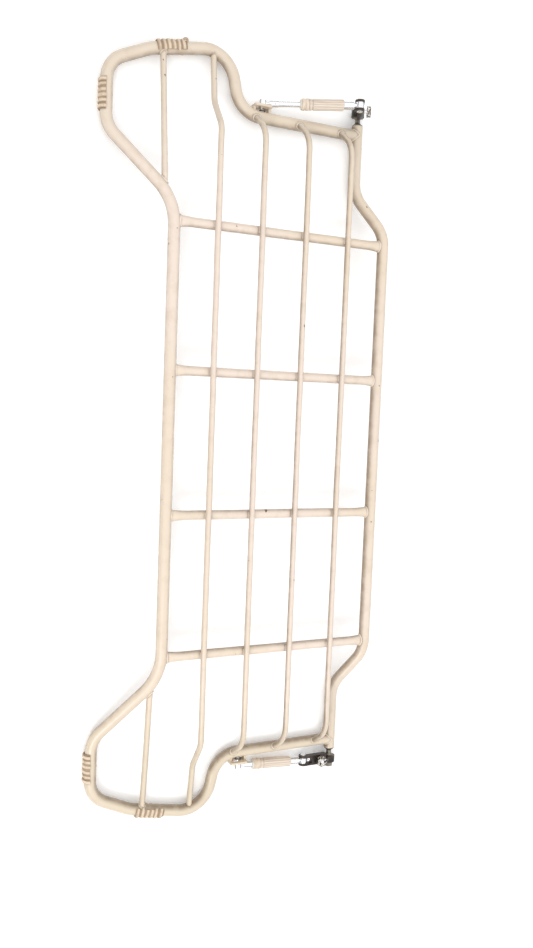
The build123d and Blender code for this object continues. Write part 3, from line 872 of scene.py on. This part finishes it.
# %% Pad rubber
def make_pad_rubber():
    finish = Finish("pad_rubber", Specular_IOR_Level=0.4)
    # Painted shade in the grooves between the ribs, and a painted highlight along each rib's
    # crest.
    crest = finish.attribute("crest")
    dust = finish.noise(140.0, 4.0, 0.65)
    fine = finish.noise(1400.0, 2.0)
    base = finish.blend(finish.window(crest, 0.0, 0.6), rgb(158, 136, 114),
                        rgb(192, 169, 145))
    base = finish.blend(finish.window(crest, 0.72, 0.96), base, rgb(222, 204, 181))
    base = finish.blend(finish.window(dust, 0.45, 0.72, 0.0, 0.5), base,
                        rgb(160, 138, 116))
    finish.feed(Base_Color=base, Roughness=0.42 + 0.3 * dust)
    finish.bump(0.5 * dust + 0.5 * fine, 0.0002)
    return finish.material


pad_rubber = make_pad_rubber()
print(pad_rubber.name, len(pad_rubber.node_tree.nodes), "nodes")


# %% The sleeve and its ribs
rib_thickness_share = 1.25
rib_width_share = 0.40


def make_pad_recipe():
    recipe = Recipe("ribbed_sleeve", tube=float, wall=float, rib=float, length=float,
                    ribs=int, cover=float, lean=float, seed=int,
                    material=bpy.types.Material)
    size = recipe.size

    def arc(radius, ending):
        line = recipe.node("GeometryNodeCurveArc", {},
                           {"Resolution": 44, "Radius": radius,
                            "Start Angle": size("cover") * -0.5,
                            "Sweep Angle": size("cover")})
        share = recipe.node("GeometryNodeSplineParameter", {}, {}, "Factor")
        gap = recipe.maths("MINIMUM", share, 1 - share)
        taper = recipe.window(gap, 0.0, 0.10, ending, 1.0)
        return recipe.node("GeometryNodeSetCurveRadius", {},
                           {"Curve": line, "Radius": taper})

    def swept(line, half_thick, half_wide, sides):
        ring = recipe.node("GeometryNodeCurvePrimitiveCircle", {},
                           {"Resolution": sides, "Radius": 1.0})
        oval = recipe.xyz(half_thick, half_wide, 1.0)
        ring = recipe.node("GeometryNodeTransform", {}, {"Geometry": ring, "Scale": oval})
        return recipe.swept(line, ring)

    pitch = size("length") / size("ribs")
    outer = size("tube") + size("wall") + size("rib")
    rib_half = size("rib") * rib_thickness_share
    rib = swept(arc(outer - rib_half, 0.55), rib_half, pitch * rib_width_share, 16)
    start = recipe.xyz(0.0, 0.0, (pitch - size("length")) * 0.5)
    rows = recipe.node("GeometryNodeMeshLine", {},
                       {"Count": size("ribs"), "Start Location": start,
                        "Offset": recipe.xyz(0.0, 0.0, pitch)})

    def chance(low, high, salt):
        return recipe.node("FunctionNodeRandomValue", {"data_type": "FLOAT"},
                           {2: low, 3: high, "Seed": size("seed") + salt}, 1)

    turn = recipe.xyz(size("lean") + chance(-0.07, 0.07, 1), chance(-0.04, 0.04, 2),
                      chance(-0.10, 0.10, 3))
    shrink = chance(0.955, 1.0, 4)
    ribs = recipe.node("GeometryNodeInstanceOnPoints", {},
                       {"Points": rows, "Instance": rib, "Rotation": turn,
                        "Scale": recipe.xyz(shrink, shrink, 1.0)})
    wall_half = size("wall") * 0.5
    wall = swept(arc(size("tube") + wall_half, 0.9), wall_half, size("length") * 0.5, 24)
    both = recipe.tree.nodes.new("GeometryNodeJoinGeometry")
    for part in (wall, ribs):
        recipe.tree.links.new(part.socket, both.inputs[0])
    whole = recipe.node("GeometryNodeRealizeInstances", {},
                        {"Geometry": Value(recipe, both.outputs[0])})
    position = recipe.node("GeometryNodeInputPosition", {}, {})
    lumps = recipe.node("ShaderNodeTexNoise", {"noise_dimensions": "4D"},
                        {"Vector": position, "W": size("seed") + 0.5, "Scale": 160.0})
    push = recipe.vector("SCALE", recipe.node("GeometryNodeInputNormal", {}, {}),
                         (lumps - 0.62) * 0.0009)
    whole = recipe.node("GeometryNodeSetPosition", {}, {"Geometry": whole, "Offset": push})
    flat = recipe.vector("MULTIPLY", position, (1, 1, 0))
    reach = recipe.node("ShaderNodeVectorMath", {"operation": "LENGTH"}, {0: flat}, "Value")
    # How near a rib's crest a point stands, read by the rubber for its painted shade and
    # highlight.
    crest = recipe.window(reach, outer - size("rib") * 1.5, outer - size("rib") * 0.2)
    whole = recipe.store(whole, "crest", crest)
    recipe.close(whole)
    return recipe


pad_recipe = make_pad_recipe()

# %% Pads on the wings
pad_wall = 0.0026
pad_rib = 0.0015
pad_length = 0.047
end_pad_y = -0.002
pad_ribs = 6
end_pad_cover, end_pad_lean = math.radians(234), 0.17
side_pad_cover, side_pad_lean = math.radians(225), -0.10
side_pad_faces = Vector((0, -0.78, -0.62)).normalized()


def pad_middle(node):
    """A point on its tube's axis: the cap's line, or the wing's side run."""
    if node.startswith("end"):
        sign = sides[node.rsplit("_", 1)[1]]
        return at(sign * cap_axis_x(end_pad_y), end_pad_y, 0)
    return at(middle_of(node).x, wing_side_y, 0)


def make_pad(name, node, along, cover_dir, cover, lean, seed):
    """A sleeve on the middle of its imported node's tube."""
    pad = grown(pad_recipe, name, line_object([[(0, 0, 0), (0, 0, 1)]]), tube=tube_radius,
                wall=pad_wall, rib=pad_rib, length=pad_length, ribs=pad_ribs, cover=cover,
                lean=lean, seed=seed, material=pad_rubber)
    along = along.normalized()
    cover_dir = (cover_dir - along * cover_dir.dot(along)).normalized()
    turned = Matrix((cover_dir, along.cross(cover_dir), along)).transposed().to_4x4()
    pad.data.transform(Matrix.Translation(pad_middle(node)) @ turned)
    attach(pad, "frame")
    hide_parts(node)
    return pad


for side, sign in sides.items():
    cap_run = Vector((sign * (cap_far_x - cap_near_x), cap_far_y - cap_near_y, 0))
    outward = Vector((sign * cap_run.y, -sign * cap_run.x, 0))
    make_pad(f"end_grip_{side}", f"end_pad_{side}", cap_run, outward, end_pad_cover,
             end_pad_lean * sign, seed=5 + sign)
    make_pad(f"side_grip_{side}", f"side_pad_{side}", Vector((1, 0, 0)), side_pad_faces,
             side_pad_cover, side_pad_lean * sign, seed=15 + sign)

# %% The tied end of one pad
knot_y = 0.0185
knot_reach = 0.0118
knot_turn = 0.0031
knot_arc, knot_start = 0.86, 0.3
knot_steps = 14
knot_crest = 0.55


def make_knot():
    """A little curl of cord that stands up and out at the end of the left end pad."""
    centre = at(-cap_axis_x(knot_y), knot_y, 0)
    out = Vector((-0.76, 0, 0.65))
    across = Vector((0, 1, 0))
    curl = []
    for step in range(knot_steps + 1):
        angle = math.tau * (step / knot_steps * knot_arc - knot_start)
        rise = knot_reach + knot_turn * math.sin(angle)
        curl.append(centre + out * rise + across * knot_turn * math.cos(angle))
    knot = grown(bead_recipe, "pad_knot", line_object([curl]), radius=0.0019, ripple=0.08,
                 pitch=0.003, material=pad_rubber)
    # The knot gets a middle share of the pad's painted shade and highlight.
    give(knot.data, "crest", [knot_crest] * len(knot.data.vertices))
    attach(knot, "frame")


make_knot()

# %% [markdown]
# ## Metal, enamel and plastic of the stays
# The clamp and stay are small plated, blackened and moulded parts.  Chrome is not a perfect
# mirror: it has fine scratches and dull spots.  The cast bracket has thick dark enamel, thin
# in places: pale patches at random stand for worn metal and are painted glints as well.  The
# grip is cream plastic with faint streaks along it.

# %% Metals
def make_chrome():
    finish = Finish("chrome", Metallic=1.0)
    spots = finish.noise(420.0, 4.0, 0.7)
    haze = finish.noise(35.0, 2.0)
    base = finish.blend(finish.window(spots, 0.60, 0.72, 0.0, 0.6), rgb(240, 240, 242),
                        rgb(134, 122, 110))
    finish.feed(Base_Color=base, Roughness=0.09 + 0.14 * haze + 0.2 * spots * spots)
    finish.bump(spots, 0.00003)
    return finish.material


def make_knob_chrome():
    """Chrome with dark patches at random on a knob, which are painted dark reflections."""
    finish = Finish("knob_chrome", Metallic=1.0)
    wear_and_painted_reflection = finish.noise(330.0, 3.0, 0.7, shift=(0.4, 0.9, 0.2))
    base = finish.blend(finish.window(wear_and_painted_reflection, 0.43, 0.53), rgb(236, 230, 222),
                        rgb(46, 37, 31))
    finish.feed(Base_Color=base, Roughness=0.16 + 0.3 * wear_and_painted_reflection)
    finish.bump(wear_and_painted_reflection, 0.0004)
    return finish.material


def make_steel(name, bright, dull, roughness, grain):
    """Steel with turning marks: the noise is drawn out round the piece's long axis."""
    finish = Finish(name, Metallic=0.85)
    marks = finish.noise(grain, 2.0, 0.6, stretch=(1, 0.03, 0.03))
    patches = finish.noise(70.0, 3.0, 0.6)
    base = finish.blend(finish.window(patches, 0.4, 0.65), bright, dull)
    base = finish.blend(finish.window(marks, 0.35, 0.75, 0.0, 0.4), base, rgb(70, 63, 58))
    finish.feed(Base_Color=base, Roughness=roughness + 0.2 * marks)
    finish.bump(marks, 0.00006)
    return finish.material


def make_bracket_enamel():
    finish = Finish("bracket_enamel", Coat_Roughness=0.12, Coat_IOR=1.5,
                    Specular_IOR_Level=0.3)
    cast = finish.noise(260.0, 4.0, 0.6)
    patches = finish.noise(55.0, 3.0)
    base = finish.blend(finish.window(patches, 0.4, 0.62), rgb(34, 28, 25), rgb(62, 51, 44))
    # Pale patches: worn enamel, and painted glints as well.
    wear_and_painted_reflection = finish.window(finish.noise(180.0, 5.0, 0.7, shift=(0.7, 0.1, 0.9)), 0.64, 0.69)
    base = finish.blend(wear_and_painted_reflection, base, rgb(150, 138, 124))
    finish.feed(Base_Color=base, Roughness=0.3 + 0.25 * cast, Metallic=0.55 * wear_and_painted_reflection,
                Coat_Weight=0.3 - 0.3 * wear_and_painted_reflection)
    finish.bump(0.8 * cast - 0.5 * wear_and_painted_reflection, 0.0006)
    return finish.material


def make_brass():
    finish = Finish("bush_brass", Metallic=1.0)
    tarnish = finish.noise(240.0, 3.0)
    base = finish.blend(finish.window(tarnish, 0.4, 0.65), rgb(150, 132, 100),
                        rgb(104, 88, 66))
    finish.feed(Base_Color=base, Roughness=0.25 + 0.3 * tarnish)
    return finish.material


# %% Plastics and rubber
def make_moulded(name, light, shade, roughness, streak=(1, 1, 1), grain=0.00008):
    finish = Finish(name, Specular_IOR_Level=0.5)
    streaks = finish.noise(260.0, 3.0, 0.6, stretch=streak)
    fine = finish.noise(1600.0, 2.0)
    base = finish.blend(finish.window(streaks, 0.38, 0.68), light, shade)
    # Painted shade in the flutes, grooves and rounded ends of pieces that carry the groove
    # attribute.
    base = finish.blend(finish.attribute("groove"), base, rgb(158, 136, 116))
    finish.feed(Base_Color=base, Roughness=roughness + 0.15 * fine)
    finish.bump(0.6 * fine + 0.4 * streaks, grain)
    return finish.material


knob_chrome = make_knob_chrome()
finishes = {
    "cream_paint": cream_enamel,
    "pad_rubber": pad_rubber,
    "chrome": make_chrome(),
    "dark_steel": make_steel("turned_steel", rgb(150, 143, 134), rgb(112, 104, 96), 0.34,
                             1500.0),
    "bracket_enamel": make_bracket_enamel(),
    "bush_brass": make_brass(),
    "bush_plastic": make_moulded("bush_plastic", rgb(232, 228, 218), rgb(214, 208, 196),
                                 0.38),
    "grip_plastic": make_moulded("grip_plastic", rgb(233, 219, 204), rgb(216, 200, 184),
                                 0.34, streak=(1, 0.04, 0.3)),
    "collar_plastic": make_moulded("collar_plastic", rgb(229, 214, 196),
                                   rgb(210, 192, 172), 0.36, streak=(0.3, 1, 0.3)),
    "clamp_rubber": make_moulded("clamp_rubber", rgb(52, 48, 46), rgb(36, 33, 32), 0.62,
                                 grain=0.0002),
}
for node, piece in frame["nodes"].items():
    for material_slot in piece.material_slots:
        material_slot.material = finishes[material_slot.material.name.split(".")[0]]
print(len(finishes), "finishes on", len(frame["nodes"]), "nodes")

# %% [markdown]
# ## Soft corners on the cast and cut pieces
# Real castings, nuts and plates have no razor edges, and it is their soft corners that
# catch the light.  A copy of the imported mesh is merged, its flat faces are made whole
# again, and a bevel rounds what is left of the edges.

# %% Softened copies
def softened(node, name, body, slot, width, segments=3):
    source = frame["nodes"][node]
    mesh = bmesh.new()
    mesh.from_mesh(source.data)
    bmesh.ops.remove_doubles(mesh, verts=mesh.verts, dist=0.00001)
    bmesh.ops.dissolve_limit(mesh, angle_limit=math.radians(1.0), verts=mesh.verts,
                             edges=mesh.edges)
    data = bpy.data.meshes.new(name)
    mesh.to_mesh(data)
    mesh.free()
    piece = linked(name, data)
    data.materials.append(finishes[slot])
    for polygon in data.polygons:
        polygon.use_smooth = True
    bevel = piece.modifiers.new("soft_corners", "BEVEL")
    bevel.width = width
    bevel.segments = segments
    bevel.limit_method = "ANGLE"
    bevel.angle_limit = math.radians(32)
    bevel.use_clamp_overlap = True
    bevel.harden_normals = True
    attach(piece, body)
    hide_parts(node)
    return piece


for side in sides:
    softened(f"bracket_{side}", f"cast_bracket_{side}", f"bracket_{side}",
             "bracket_enamel", 0.0009)
    softened(f"jaw_plate_{side}", f"bent_jaw_{side}", f"bracket_{side}", "chrome", 0.0006)
    softened(f"hinge_nut_{side}", f"pivot_nut_{side}", "frame", "dark_steel", 0.0005)
    softened(f"stay_eye_{side}", f"ball_eye_{side}", f"stay_{side}", "chrome", 0.0014)
    knob = softened(f"clamp_knob_{side}", f"knurled_knob_{side}", f"clamp_screw_{side}",
                    "chrome", 0.0004, 2)
    knob.data.materials[0] = knob_chrome

# %% [markdown]
# ## Fluted grips
# The cream grip on a stay is moulded with shallow flutes along it, grooves round its collar
# end and soft ends.  It is one lathe: a line along the stay's axis, given a radius at each
# station, and a section whose rim is scalloped.

# %% Grips
grip_flutes = 14
grip_flute_depth = 0.0006
grip_radius = 0.0091
grip_length = 0.058
flute_from, flute_to = 0.03, 0.87
points_per_flute = 8
groove_depth = 0.001
# How much painted shade the flutes and the grooves get.
flute_shade, groove_shade = 0.45, 0.5
joints = {joint["name"]: joint for joint in frame["joints"]}
# Each station is a share of the length from the ball's end, and what the radius loses there.
grip_stations = [(0.0, 0.0026), (0.004, 0.0010), (0.016, 0.0002), (0.035, 0.0),
                 (0.45, 0.0001), (0.86, 0.0), (0.878, 0.0002), (0.892, 0.0010),
                 (0.912, 0.0010), (0.926, 0.0001), (0.950, 0.0), (0.956, 0.0004),
                 (0.966, 0.0004), (0.972, 0.0), (0.985, 0.0001), (0.995, 0.0006),
                 (1.0, 0.0024)]


def make_grip(side):
    """Rings of points round the stay's axis, from the ball's end to the collar."""
    joint = joints[f"collar_twist_{side}"]
    along = Vector(joint["axis"]).normalized()
    across = along.cross(Vector((0, 0, 1))).normalized()
    upright = across.cross(along)
    end = Vector(joint["pos_m"])
    points, faces, grooves = [], [], []
    around = grip_flutes * points_per_flute
    for share, loss in grip_stations:
        flute = grip_flute_depth if flute_from < share < flute_to else 0.0
        middle = end - along * grip_length * (1 - share)
        for step in range(around):
            angle = math.tau * step / around
            cut = 0.5 + 0.5 * math.cos(grip_flutes * angle)
            radius = grip_radius - loss - flute * cut
            grooves.append(flute_shade * cut ** 2 if flute
                           else groove_shade * min(loss / groove_depth, 1.0))
            spoke = across * math.cos(angle) + upright * math.sin(angle)
            points.append(middle + spoke * radius)
    rows = len(grip_stations)
    for row in range(rows - 1):
        for step in range(around):
            a, b = row * around + step, row * around + (step + 1) % around
            faces.append((a, b, b + around, a + around))
    faces.append(tuple(reversed(range(around))))
    faces.append(tuple(range((rows - 1) * around, rows * around)))
    mesh = bpy.data.meshes.new(f"fluted_grip_{side}")
    mesh.from_pydata(points, [], faces)
    for polygon in mesh.polygons:
        polygon.use_smooth = len(polygon.vertices) == 4
    mesh.materials.append(finishes["grip_plastic"])
    give(mesh, "groove", grooves)
    grip = linked(f"fluted_grip_{side}", mesh)
    check = bmesh.new()
    check.from_mesh(mesh)
    print(grip.name, "volume", round(check.calc_volume(signed=True) * 1e6, 2), "cm3")
    check.free()
    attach(grip, f"stay_{side}")
    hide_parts(f"grip_sleeve_{side}")


for side in sides:
    make_grip(side)

# %% [markdown]
# ## The painted pieces' bodies
# All bars and beads are welded together, so they ride on the frame.  Each bar stands for one
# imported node, and the beads stand for none.

# %% Painted pieces on the frame
for piece, node in painted:
    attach(piece, "frame")
    if node:
        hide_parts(node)

# %% [markdown]
# ## Size
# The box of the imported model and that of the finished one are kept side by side.

# %% Size
boxes = [[list(corner) for corner in bounds] for bounds in (cad_bounds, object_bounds())]
for label, corner in (("low", 0), ("high", 1)):
    print(label, [round(now - cad, 5) for cad, now in zip(boxes[0][corner],
                                                          boxes[1][corner])])
